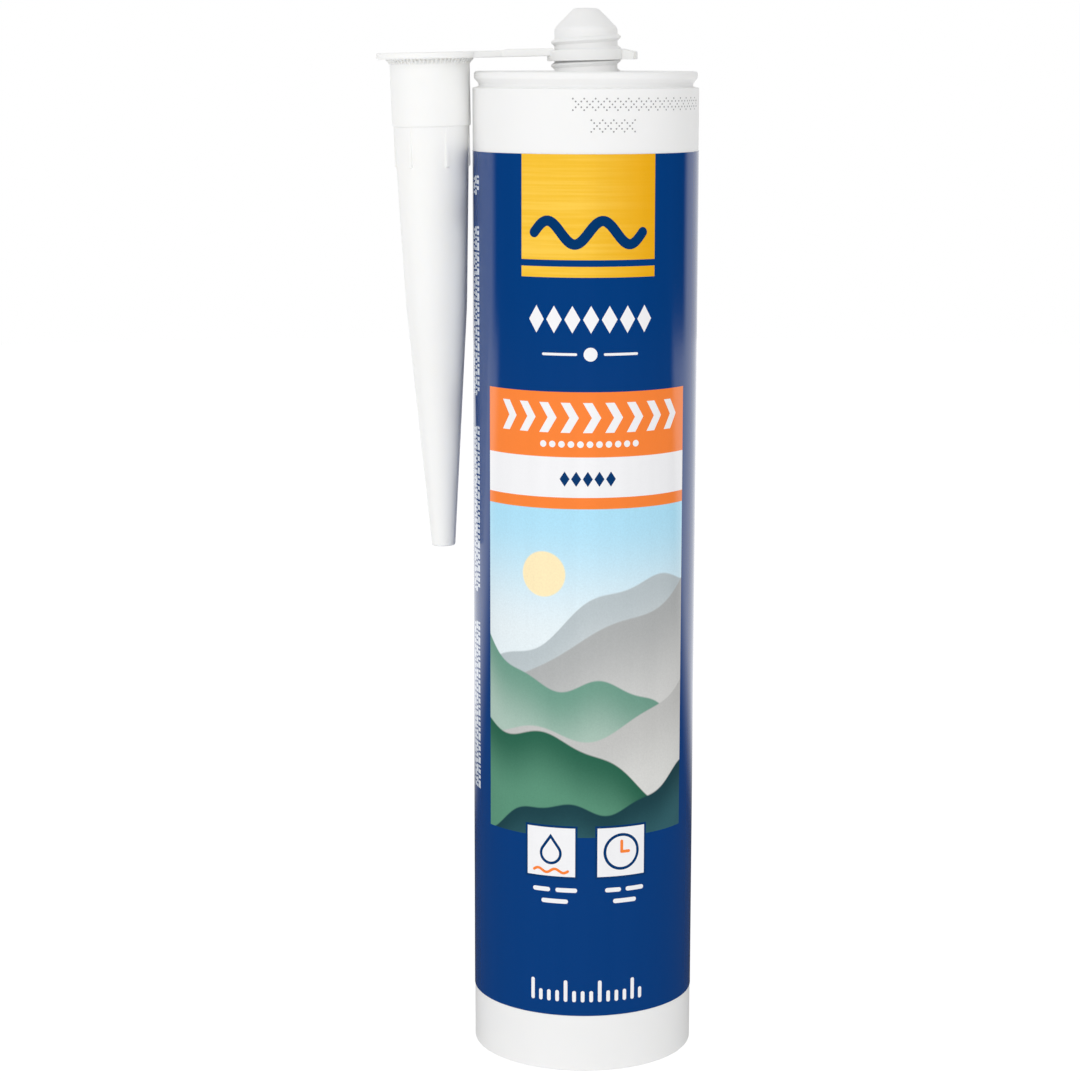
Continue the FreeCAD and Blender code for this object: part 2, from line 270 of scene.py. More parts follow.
def joined(name, parts):
    """Several objects as one piece, with one mesh."""
    calm()
    for part in parts:
        part.select_set(True)
    bpy.context.view_layer.objects.active = parts[0]
    if len(parts) > 1:
        bpy.ops.object.join()
    piece = bpy.context.object
    piece.name = name
    piece.data.name = name
    settle(piece)
    return piece


def fused(piece, others, operation="UNION"):
    """One closed skin round a piece and others, or the piece less the others."""
    for other in others:
        merge = piece.modifiers.new("fuse", "BOOLEAN")
        merge.operation = operation
        merge.solver = "EXACT"
        merge.object = other
        apply_all(piece)
        bpy.data.objects.remove(other)
    return piece


def drawn(name, points, closed=False):
    """A wire drawn from point to point in the XZ plane, left open in edit mode."""
    calm()
    bpy.ops.mesh.primitive_circle_add(
        vertices=3, radius=MM, location=(0, 0, 0), enter_editmode=True)
    bpy.context.object.name = name
    bpy.ops.mesh.merge(type="CENTER")
    last = Vector((0, 0, 0))
    for index, (across, height) in enumerate(points):
        here = Vector((across, 0, height)) * MM
        if index == 0:
            bpy.ops.transform.translate(value=here)
        else:
            bpy.ops.mesh.extrude_region_move(TRANSFORM_OT_translate={"value": here - last})
        last = here
    if closed:
        bpy.ops.mesh.select_all(action="SELECT")
        bpy.ops.mesh.edge_face_add()
    return bpy.context.object


def pick(piece, test):
    """Selects the vertices whose place in millimetres passes the test, in edit mode."""
    bpy.ops.mesh.select_mode(type="VERT")
    bpy.ops.mesh.select_all(action="DESELECT")
    bpy.ops.object.mode_set(mode="OBJECT")
    for vertex in piece.data.vertices:
        vertex.select = test(vertex.co / MM)
    bpy.ops.object.mode_set(mode="EDIT")


def turned(name, profile, steps=LATHE_STEPS, angle=360.0, closed=True):
    """A profile of (radius, height, rounding) turned on a lathe about the Z axis."""
    piece = drawn(name, [(radius, height) for radius, height, _ in profile])
    if closed:
        bpy.ops.mesh.select_all(action="SELECT")
        pick(piece, lambda place: near(place, profile[0]) or near(place, profile[-1]))
        bpy.ops.mesh.edge_face_add()
    for corner in profile:
        if corner[2]:
            pick(piece, lambda place, corner=corner: near(place, corner))
            bpy.ops.mesh.bevel(
                offset=corner[2] * MM, segments=ROUNDING_STEPS, affect="VERTICES")
    bpy.ops.mesh.select_all(action="SELECT")
    if angle < 360:
        bpy.ops.transform.rotate(
            value=-math.radians(angle / 2), orient_axis="Z", center_override=(0, 0, 0))
    bpy.ops.mesh.spin(steps=steps, angle=math.radians(angle), center=(0, 0, 0), axis=(0, 0, 1))
    bpy.ops.mesh.select_all(action="SELECT")
    bpy.ops.mesh.remove_doubles(threshold=MERGE_REACH * MM)
    if angle < 360:
        bpy.ops.mesh.select_all(action="DESELECT")
        bpy.ops.mesh.select_non_manifold()
        bpy.ops.mesh.fill_holes(sides=0)
        bpy.ops.mesh.select_all(action="SELECT")
    bpy.ops.mesh.normals_make_consistent(inside=False)
    calm()
    return piece


def near(place, corner):
    """Whether a place is at a corner of a profile."""
    return abs(place.x - corner[0]) < SAME_PLACE and abs(place.z - corner[1]) < SAME_PLACE


def coiled(name, section, turns):
    """A right-hand thread: a section drawn out step by step, then fading into the wall."""
    piece = drawn(name, section, closed=True)
    count = turns * COIL_STEPS
    root = section[0][0]
    middle = (section[0][1] + section[-1][1]) / 2
    for step in range(1, count + THREAD_FADE + 1):
        turn = math.tau * step / COIL_STEPS
        rise = THREAD_PITCH * step / COIL_STEPS
        bpy.ops.mesh.extrude_region_move(
            TRANSFORM_OT_translate={"value": (0, 0, THREAD_PITCH / COIL_STEPS * MM)})
        bpy.ops.transform.rotate(
            value=-math.tau / COIL_STEPS, orient_axis="Z", center_override=(0, 0, 0))
        if step > count:
            foot = Vector((root * math.cos(turn), root * math.sin(turn), middle + rise)) * MM
            bpy.ops.transform.resize(value=[THREAD_SHRINK] * 3, center_override=foot)
    bpy.ops.mesh.select_all(action="SELECT")
    bpy.ops.mesh.normals_make_consistent(inside=False)
    calm()
    return piece


def ringed(piece, count):
    """Copies of a piece all round the Z axis, in one mesh."""
    use(piece)
    bpy.ops.object.mode_set(mode="EDIT")
    bpy.ops.mesh.select_all(action="SELECT")
    bpy.ops.mesh.spin(
        steps=count - 1, dupli=True, angle=math.tau * (count - 1) / count,
        center=(0, 0, 0), axis=(0, 0, 1))
    bpy.ops.mesh.select_all(action="SELECT")
    bpy.ops.mesh.normals_make_consistent(inside=False)
    calm()
    return piece


def block(name, outline, thickness, rounding=0.0):
    """A flat outline in the XZ plane given a thickness about that plane, its rim edges rounded."""
    piece = drawn(name, outline, closed=True)
    bpy.ops.transform.translate(value=(0, -thickness / 2 * MM, 0))
    bpy.ops.mesh.extrude_region_move(TRANSFORM_OT_translate={"value": (0, thickness * MM, 0)})
    bpy.ops.mesh.select_all(action="SELECT")
    bpy.ops.mesh.normals_make_consistent(inside=False)
    if rounding:
        bpy.ops.mesh.bevel(offset=rounding * MM, segments=3)
    calm()
    return piece


def dress(piece, material, body, slot, *nodes):
    """Gives a finished piece its material and its body, and hides the nodes that it stands for. The
    slot is not used.
    """
    piece.data.materials.clear()
    piece.data.materials.append(material)
    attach(piece, body)
    if nodes:
        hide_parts(*nodes)


# Colours and materials

def colour(red, green, blue):
    """A display colour of 0 to 255 as the linear colour that a shader takes."""
    linear = []
    for part in (red, green, blue):
        share = part / 255
        linear.append(share / 12.92 if share <= 0.04045 else ((share + 0.055) / 1.055) ** 2.4)
    return (*linear, 1.0)


def new_group(name, inputs, outputs):
    """An empty shader group whose sockets are given as (name, type, start value)."""
    tree = bpy.data.node_groups.new(name, "ShaderNodeTree")
    for label, kind, value in inputs:
        socket = tree.interface.new_socket(label, in_out="INPUT", socket_type=kind)
        if value is not None:
            socket.default_value = value
    for label, kind in outputs:
        tree.interface.new_socket(label, in_out="OUTPUT", socket_type=kind)
    return tree, tree.nodes.new("NodeGroupInput"), tree.nodes.new("NodeGroupOutput")


def put(tree, kind, links=(), **settings):
    """Adds a node, sets it and gives its inputs an output or a value each."""
    node = tree.nodes.new(kind)
    for key, value in settings.items():
        setattr(node, key, value)
    for source, socket in links:
        if hasattr(source, "links"):
            tree.links.new(source, node.inputs[socket])
        else:
            node.inputs[socket].default_value = source
    return node


def maths(tree, operation, *values):
    """The result of a Math node on sockets or numbers."""
    links = [(value, index) for index, value in enumerate(values)]
    return put(tree, "ShaderNodeMath", links, operation=operation).outputs[0]


def mixed(tree, share, first, second):
    """Two colours mixed by a share."""
    links = [(share, 0), (first, 6), (second, 7)]
    return put(tree, "ShaderNodeMix", links, data_type="RGBA").outputs[2]


def stepped(tree, value, low, high):
    """A smooth step from 0 at the low value to 1 at the high one."""
    links = [(value, 0), (low, 1), (high, 2)]
    return put(tree, "ShaderNodeMapRange", links, interpolation_type="SMOOTHSTEP").outputs[0]


def moulded_skin():
    """Fine unevenness of moulded plastic: a roughness and a height."""
    tree, given, made = new_group("moulded_skin", [
        ("Place", "NodeSocketVector", None),
        ("Grain Size", "NodeSocketFloat", 900.0),
        ("Roughness", "NodeSocketFloat", 0.4),
        ("Unevenness", "NodeSocketFloat", 0.1),
    ], [("Roughness", "NodeSocketFloat"), ("Height", "NodeSocketFloat")])
    grain = put(tree, "ShaderNodeTexNoise", [
        (given.outputs["Place"], "Vector"),
        (given.outputs["Grain Size"], "Scale"),
        (4.0, "Detail"),
    ])
    swell = put(tree, "ShaderNodeTexNoise", [(given.outputs["Place"], "Vector"), (55.0, "Scale")])
    lift = maths(tree, "SUBTRACT", swell.outputs[0], 0.5)
    rough = maths(
        tree, "MULTIPLY_ADD", lift, given.outputs["Unevenness"], given.outputs["Roughness"])
    height = maths(tree, "MULTIPLY_ADD", grain.outputs[0], 0.25, swell.outputs[0])
    tree.links.new(rough, made.inputs["Roughness"])
    tree.links.new(height, made.inputs["Height"])
    return tree


def print_skin():
    """Glossy print on stretched film: faint upright draw lines and a fine grain in the colour."""
    tree, given, made = new_group("print_skin", [
        ("Place", "NodeSocketVector", None),
        ("Ink", "NodeSocketColor", (0.5, 0.5, 0.5, 1.0)),
        ("Grain", "NodeSocketFloat", 0.04),
    ], [
        ("Color", "NodeSocketColor"),
        ("Roughness", "NodeSocketFloat"),
        ("Height", "NodeSocketFloat"),
    ])
    stretch = put(tree, "ShaderNodeMapping", [(given.outputs["Place"], "Vector")])
    stretch.inputs["Scale"].default_value = (1.0, 1.0, 0.04)
    draw = put(tree, "ShaderNodeTexNoise", [(stretch.outputs[0], "Vector"), (260.0, "Scale")])
    grain = put(tree, "ShaderNodeTexNoise", [(given.outputs["Place"], "Vector"), (2600.0, "Scale")])
    speckle = maths(tree, "SUBTRACT", grain.outputs[0], 0.5)
    streak = maths(tree, "SUBTRACT", draw.outputs[0], 0.5)
    share = maths(tree, "MULTIPLY", speckle, given.outputs["Grain"])
    value = maths(tree, "ADD", 1.0, maths(tree, "MULTIPLY_ADD", streak, 0.08, share))
    tinted = put(
        tree, "ShaderNodeHueSaturation", [(given.outputs["Ink"], "Color"), (value, "Value")])
    tree.links.new(tinted.outputs[0], made.inputs["Color"])
    tree.links.new(maths(tree, "MULTIPLY_ADD", streak, 0.06, 0.1), made.inputs["Roughness"])
    tree.links.new(maths(tree, "ADD", streak, speckle), made.inputs["Height"])
    return tree


def misty_hill():
    """A rolling hill in front of what lies behind it, paler towards its foot."""
    tree, given, made = new_group("misty_hill", [
        ("Angle", "NodeSocketFloat", 0.0),
        ("Height", "NodeSocketFloat", 0.0),
        ("Behind", "NodeSocketColor", (1.0, 1.0, 1.0, 1.0)),
        ("Crest", "NodeSocketColor", (0.5, 0.5, 0.5, 1.0)),
        ("Foot", "NodeSocketColor", (0.8, 0.8, 0.8, 1.0)),
        ("Base", "NodeSocketFloat", 90.0),
        ("Slope", "NodeSocketFloat", 0.0),
        ("Swell", "NodeSocketFloat", 5.0),
        ("Waves", "NodeSocketFloat", 3.0),
        ("Phase", "NodeSocketFloat", 0.0),
        ("Depth", "NodeSocketFloat", 20.0),
        ("Softness", "NodeSocketFloat", 0.5),
    ], [("Color", "NodeSocketColor")])
    take = given.outputs
    turn = maths(tree, "MULTIPLY_ADD", take["Angle"], take["Waves"], take["Phase"])
    wave = maths(tree, "SINE", turn)
    ripple = maths(tree, "MULTIPLY", maths(tree, "SINE", maths(tree, "MULTIPLY", turn, 2.7)), 0.3)
    swell = maths(tree, "MULTIPLY", maths(tree, "ADD", wave, ripple), take["Swell"])
    level = maths(tree, "MULTIPLY_ADD", take["Angle"], take["Slope"], take["Base"])
    below = maths(tree, "SUBTRACT", maths(tree, "ADD", level, swell), take["Height"])
    mask = stepped(tree, below, 0.0, take["Softness"])
    fade = stepped(tree, below, 0.0, take["Depth"])
    body = mixed(tree, fade, take["Crest"], take["Foot"])
    tree.links.new(mixed(tree, mask, take["Behind"], body), made.inputs["Color"])
    return tree


MOULDED_SKIN = moulded_skin()
PRINT_SKIN = print_skin()
MISTY_HILL = misty_hill()


def new_material(name):
    material = bpy.data.materials.new(name)
    material.use_nodes = True
    tree = material.node_tree
    place = tree.nodes.new("ShaderNodeTexCoord").outputs["Object"]
    return material, tree, tree.nodes["Principled BSDF"], place


def bumped(tree, shader, height, strength, distance):
    """Feeds a height to the shader's normal."""
    bump = put(tree, "ShaderNodeBump", [(height, "Height")])
    bump.inputs["Strength"].default_value = strength
    bump.inputs["Distance"].default_value = distance
    tree.links.new(bump.outputs[0], shader.inputs["Normal"])


def moulded(name, tint, deeper, roughness, milky=0.0, grain_size=900.0):
    """Polyethylene as it leaves the mould, with a little light let through where it is milky."""
    material, tree, shader, place = new_material(name)
    skin = put(tree, "ShaderNodeGroup", node_tree=MOULDED_SKIN)
    tree.links.new(place, skin.inputs["Place"])
    skin.inputs["Grain Size"].default_value = grain_size
    skin.inputs["Roughness"].default_value = roughness
    cloud = put(tree, "ShaderNodeTexNoise", [(place, "Vector"), (40.0, "Scale")])
    tree.links.new(mixed(tree, cloud.outputs[0], tint, deeper), shader.inputs["Base Color"])
    tree.links.new(skin.outputs["Roughness"], shader.inputs["Roughness"])
    bumped(tree, shader, skin.outputs["Height"], 0.06, 0.0002)
    shader.inputs["Subsurface Weight"].default_value = milky
    shader.inputs["Subsurface Radius"].default_value = (1.0, 0.95, 0.85)
    shader.inputs["Subsurface Scale"].default_value = 0.005 * milky
    return material


def finish_ink(tree, shader, place, tint, grain):
    """Puts the print's gloss, grain and draw lines on a colour."""
    skin = put(tree, "ShaderNodeGroup", node_tree=PRINT_SKIN)
    tree.links.new(place, skin.inputs["Place"])
    skin.inputs["Grain"].default_value = grain
    if hasattr(tint, "links"):
        tree.links.new(tint, skin.inputs["Ink"])
    else:
        skin.inputs["Ink"].default_value = tint
    tree.links.new(skin.outputs["Color"], shader.inputs["Base Color"])
    tree.links.new(skin.outputs["Roughness"], shader.inputs["Roughness"])
    bumped(tree, shader, skin.outputs["Height"], 0.05, 0.0001)
    shader.inputs["Specular IOR Level"].default_value = 0.5


def inked(name, tint, grain=0.04):
    """Glossy ink of one colour."""
    material, tree, shader, place = new_material(name)
    finish_ink(tree, shader, place, tint, grain)
    return material


def brushed_yellow():
    """Yellow ink printed like brushed metal, with fine level strokes, and painted shade on its right
    side: a darker, more orange yellow towards +X.
    """
    material, tree, shader, place = new_material("brushed_yellow_ink")
    flat = put(tree, "ShaderNodeMapping", [(place, "Vector")])
    flat.inputs["Scale"].default_value = (0.03, 0.03, 1.0)
    fine = put(tree, "ShaderNodeTexNoise", [
        (flat.outputs[0], "Vector"),
        (1500.0, "Scale"),
        (3.0, "Detail"),
    ])
    broad = put(tree, "ShaderNodeTexNoise", [(flat.outputs[0], "Vector"), (320.0, "Scale")])
    stroke = maths(tree, "MULTIPLY", broad.outputs[0], 0.4)
    stroke = maths(tree, "MULTIPLY_ADD", fine.outputs[0], 0.6, stroke)
    share = stepped(tree, stroke, 0.35, 0.65)
    plain = mixed(tree, share, colour(252, 205, 78), colour(245, 192, 52))
    # Painted shade: towards +X the yellow turns to a darker, more orange yellow.
    side = put(tree, "ShaderNodeSeparateXYZ", [(place, 0)]).outputs["X"]
    painted_shade_side = stepped(tree, side, -0.004, 0.018)
    finish_ink(tree, shader, place, mixed(tree, painted_shade_side, plain, colour(238, 172, 16)), 0.02)
    return material


def landscape():
    """The picture: a pale sky with a low sun over misty hills, printed with a fine grain."""
    material, tree, shader, place = new_material("landscape_ink")
    axis = put(tree, "ShaderNodeSeparateXYZ", [(place, 0)]).outputs
    angle = maths(tree, "ARCTAN2", axis["X"], maths(tree, "MULTIPLY", axis["Y"], -1.0))
    height = maths(tree, "DIVIDE", axis["Z"], MM)
    glow = stepped(tree, height, 98.0, 127.0)
    sky = mixed(tree, glow, colour(232, 242, 246), colour(176, 226, 248))
    across = maths(tree, "MULTIPLY", maths(tree, "SUBTRACT", angle, -0.38), FILM_RADIUS)
    up = maths(tree, "SUBTRACT", height, 113.0)
    reach = maths(tree, "SQRT", maths(tree, "ADD", maths(tree, "MULTIPLY", across, across),
                                      maths(tree, "MULTIPLY", up, up)))
    view = mixed(tree, stepped(tree, reach, 5.2, 4.8), sky, colour(255, 236, 190))
    for crest, foot, base, slope, swell, waves, phase, depth in (
        ((186, 196, 200), (222, 228, 230), 104.0, 9.0, 3.5, 3.1, 0.6, 22.0),
        ((176, 178, 178), (214, 214, 212), 97.0, 16.0, 3.0, 2.3, 2.4, 24.0),
        ((112, 158, 140), (176, 200, 188), 88.0, -9.0, 3.2, 3.7, 0.2, 17.0),
        ((196, 196, 194), (221, 221, 218), 80.0, 7.0, 3.8, 2.6, 4.0, 18.0),
        ((42, 100, 78), (92, 148, 122), 71.5, -10.0, 3.0, 3.3, 1.9, 15.0),
        ((28, 66, 74), (52, 98, 106), 61.0, 5.0, 2.4, 4.2, 3.3, 12.0),
    ):
        hill = put(tree, "ShaderNodeGroup", node_tree=MISTY_HILL)
        tree.links.new(angle, hill.inputs["Angle"])
        tree.links.new(height, hill.inputs["Height"])
        tree.links.new(view, hill.inputs["Behind"])
        hill.inputs["Crest"].default_value = colour(*crest)
        hill.inputs["Foot"].default_value = colour(*foot)
        for name, value in (("Base", base), ("Slope", slope), ("Swell", swell),
                            ("Waves", waves), ("Phase", phase), ("Depth", depth)):
            hill.inputs[name].default_value = value
        view = hill.outputs["Color"]
    finish_ink(tree, shader, place, view, 0.16)
    return material


WHITE_PLASTIC = moulded(
    "white_barrel_plastic", colour(246, 246, 246), colour(242, 242, 241), 0.42, milky=0.15)
MILKY_PLASTIC = moulded(
    "milky_nozzle_plastic", colour(251, 251, 250), colour(247, 247, 244), 0.38, milky=0.3)
PLUNGER_PLASTIC = moulded("plunger_plastic", colour(236, 236, 234), colour(230, 230, 227), 0.5)
PASTE = moulded(
    "sealant_paste", colour(240, 240, 238), colour(235, 235, 232), 0.35, milky=0.1, grain_size=300.0)
BLUE_FILM = inked("deep_blue_film", colour(0, 59, 125))
NAVY_INK = inked("navy_ink", colour(0, 54, 108))
YELLOW_INK = brushed_yellow()
ORANGE_INK = inked("orange_ink", colour(252, 134, 58))
WHITE_INK = inked("white_ink", colour(244, 244, 246))
PALE_INK = inked("pale_blue_ink", colour(222, 230, 240))
GREY_INK = inked("grey_ink", colour(150, 150, 152))
PICTURE_INK = landscape()


# Print, laid out flat and then bent round the film

def arc(angle):
    """Length on the film of an angle from the middle of the label's front."""
    return math.radians(angle + PRINT_TURN) * FILM_RADIUS


def flat_bar(left, right, bottom, top, rounding=0.0):
    """A flat rectangle between two places across and two heights, with its corners rounded."""
    calm()
    middle = Vector(((left + right) / 2, 0, (bottom + top) / 2)) * MM
    bpy.ops.mesh.primitive_plane_add(
        size=MM, location=middle, rotation=(math.pi / 2, 0, 0), enter_editmode=True)
    bpy.ops.transform.resize(value=(right - left, 1, top - bottom), center_override=middle)
    if rounding:
        bpy.ops.mesh.bevel(offset=rounding * MM, segments=6, affect="VERTICES")
    calm()
    return bpy.context.object


def flat_disc(across, height, radius, hole=0.0, corners=40):
    """A flat disc, or a ring where it has a hole."""
    calm()
    bpy.ops.mesh.primitive_circle_add(
        vertices=corners, radius=radius * MM, fill_type="NGON", rotation=(math.pi / 2, 0, 0),
        location=Vector((across, 0, height)) * MM, enter_editmode=True)
    if hole:
        bpy.ops.mesh.inset(thickness=(radius - hole) * MM)
        bpy.ops.mesh.delete(type="FACE")
    calm()
    return bpy.context.object


def flat_shape(points, stroke=0.0):
    """A flat shape with the given outline, or a line of one width along it."""
    piece = drawn("shape", points, closed=True)
    if stroke:
        bpy.ops.mesh.inset(thickness=stroke * MM)
        bpy.ops.mesh.delete(type="FACE")
    calm()
    return piece


def wrapped(name, shapes, level, radius=FILM_RADIUS):
    """Joins flat shapes, cuts them upright, bends them round the barrel and thickens the ink."""
    piece = joined(name, shapes)
    across = [vertex.co.x / MM for vertex in piece.data.vertices]
    bpy.ops.object.mode_set(mode="EDIT")
    for cut in range(math.ceil(min(across) / INK_GRID), math.floor(max(across) / INK_GRID) + 1):
        bpy.ops.mesh.select_all(action="SELECT")
        bpy.ops.mesh.bisect(plane_co=(cut * INK_GRID * MM, 0, 0), plane_no=(1, 0, 0))
    bpy.ops.mesh.select_all(action="SELECT")
    bpy.ops.transform.translate(value=(0, -level * INK_STEP * MM, 0))
    calm()
    bend = piece.modifiers.new("round_the_barrel", "SIMPLE_DEFORM")
    bend.deform_method = "BEND"
    bend.deform_axis = "Z"
    bend.angle = (max(across) - min(across)) / radius
    apply_all(piece)
    piece.location.y = -radius * MM
    settle(piece)
    bpy.ops.object.mode_set(mode="EDIT")
    bpy.ops.mesh.select_all(action="SELECT")
    bpy.ops.mesh.normals_make_consistent(inside=False)
    calm()
    face_out(piece)
    skin = piece.modifiers.new("ink_thickness", "SOLIDIFY")
    skin.thickness = INK_STEP * MM
    skin.offset = -1
    apply_all(piece)
    smooth(piece)
    return piece


def face_out(piece):
    """Turns over each face that looks towards the barrel's axis."""
    use(piece)
    bpy.ops.object.mode_set(mode="EDIT")
    bpy.ops.mesh.select_mode(type="FACE")
    bpy.ops.mesh.select_all(action="DESELECT")
    bpy.ops.object.mode_set(mode="OBJECT")
    for face in piece.data.polygons:
        face.select = face.normal.x * face.center.x + face.normal.y * face.center.y < 0
    bpy.ops.object.mode_set(mode="EDIT")
    bpy.ops.mesh.flip_normals()
    bpy.ops.mesh.select_mode(type="VERT")
    calm()


def node_heights(node):
    """The bottom and top of each field of a print node, in millimetres."""
    heights = sorted({round(vertex.co.z / MM, 2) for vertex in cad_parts[node].data.vertices})
    return list(zip(heights[0::2], heights[1::2]))


def field_bars(node, angle):
    """Flat rectangles as wide as the angle, at the heights of a print node's own fields."""
    left, right = arc(-angle / 2), arc(angle / 2)
    return [flat_bar(left, right, bottom, top) for bottom, top in node_heights(node)]


def round_bars(*rows):
    """White bars with round ends, each given by its start and end angle, bottom and top."""
    bars = []
    for start, end, bottom, top in rows:
        bars.append(flat_bar(arc(start), arc(end), bottom, top, (top - bottom) / 2 * 0.98))
    return bars


def bead_wave(middle, height, half_width, swing, waist, waves=2):
    """A wavy bead of even width with round ends, drawn along a sine."""
    count = 60
    above, below = [], []
    for step in range(count + 1):
        across = half_width * (2 * step / count - 1)
        turn = across / half_width * math.pi * waves
        slope = swing * math.pi * waves / half_width * math.cos(turn)
        length = math.hypot(1, slope)
        here = Vector((middle + across, height + swing * math.sin(turn)))
        side = Vector((-slope, 1)) / length * waist
        above.append(tuple(here + side))
        below.append(tuple(here - side))
    wave = flat_shape(above + below[::-1])
    ends = []
    for one, other in ((above[0], below[0]), (above[-1], below[-1])):
        ends.append(flat_disc((one[0] + other[0]) / 2, (one[1] + other[1]) / 2, waist * 0.999))
    return [wave, *ends]


def drop(across, height, size):
    """The outline of a water drop, standing on its round end."""
    points = [(across, height + size * 1.75)]
    for step in range(25):
        turn = math.radians(32 - step * 244 / 24)
        points.append((across + size * math.cos(turn), height + size * math.sin(turn)))
    return points


def lozenges(start, end, bottom, top, count):
    """A row of diamonds that touch neither each other nor the ends of the row."""
    pitch = (arc(end) - arc(start)) / count
    shapes = []
    for index in range(count):
        across = arc(start) + pitch * (index + 0.5)
        half = pitch * 0.43
        middle = (bottom + top) / 2
        shapes.append(flat_shape([
            (across - half, middle), (across, bottom), (across + half, middle), (across, top)]))
    return shapes


def chevrons(start, end, bottom, top, count):
    """A row of broad arrowheads that point to the right."""
    pitch = (arc(end) - arc(start)) / count
    stroke, lean = pitch * 0.42, pitch * 0.4
    shapes = []
    for index in range(count):
        left = arc(start) + pitch * (index + 0.09)
        middle = (bottom + top) / 2
        shapes.append(flat_shape([
            (left, bottom), (left + stroke, bottom), (left + stroke + lean, middle),
            (left + stroke, top), (left, top), (left + lean, middle)]))
    return shapes


def beads(start, end, height, radius, count):
    """A row of discs."""
    pitch = (arc(end) - arc(start)) / count
    places = [arc(start) + pitch * (index + 0.5) for index in range(count)]
    return [flat_disc(across, height, radius, corners=20) for across in places]


def lattice(start, top, columns, rows, pitch, size):
    """Fine dots on the crossings of a slanted net."""
    dots = []
    for column in range(columns):
        for row in range(rows):
            if (column + row) % 4 == 0 or (column - row) % 4 == 0:
                across = arc(start) + column * pitch
                dots.append(flat_disc(across, top - row * pitch, size, corners=8))
    return dots


